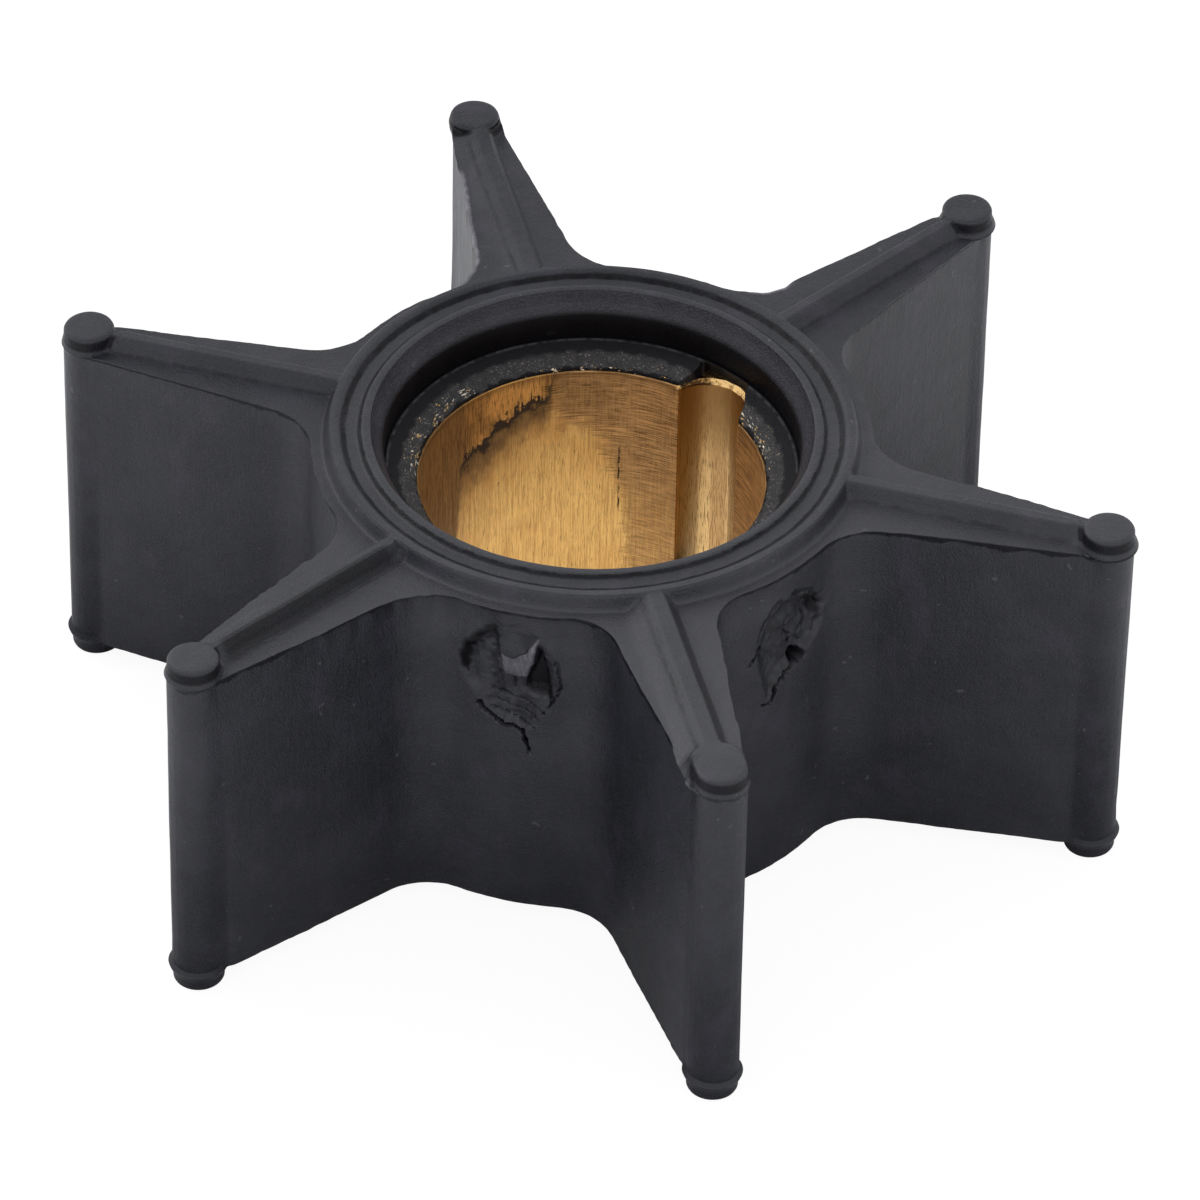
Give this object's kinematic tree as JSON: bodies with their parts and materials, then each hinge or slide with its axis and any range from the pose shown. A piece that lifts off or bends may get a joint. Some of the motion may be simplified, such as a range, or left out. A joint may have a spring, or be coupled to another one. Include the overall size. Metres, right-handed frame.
{
  "type": "pump impeller",
  "caption": "Flexible rubber pump impeller: straight radial vanes with end pads round a ringed hub, moulded on a keyed brass bush.",
  "frame": {"origin": "on the bore's axis, level with the lower faces of the vane pads", "axes": "+Z along the bore, up; +Y toward the first vane; +X to the right, between two vanes"},
  "size_m": [0.062, 0.071, 0.0262],
  "materials": {
    "rubber": "matte charcoal moulded rubber with torn flash and dust",
    "brass": "machined yellow brass with brown water stains"
  },
  "bodies": {
    "root": {"rubber_impeller": "rubber", "brass_bush": "brass"}
  },
  "joints": []
}
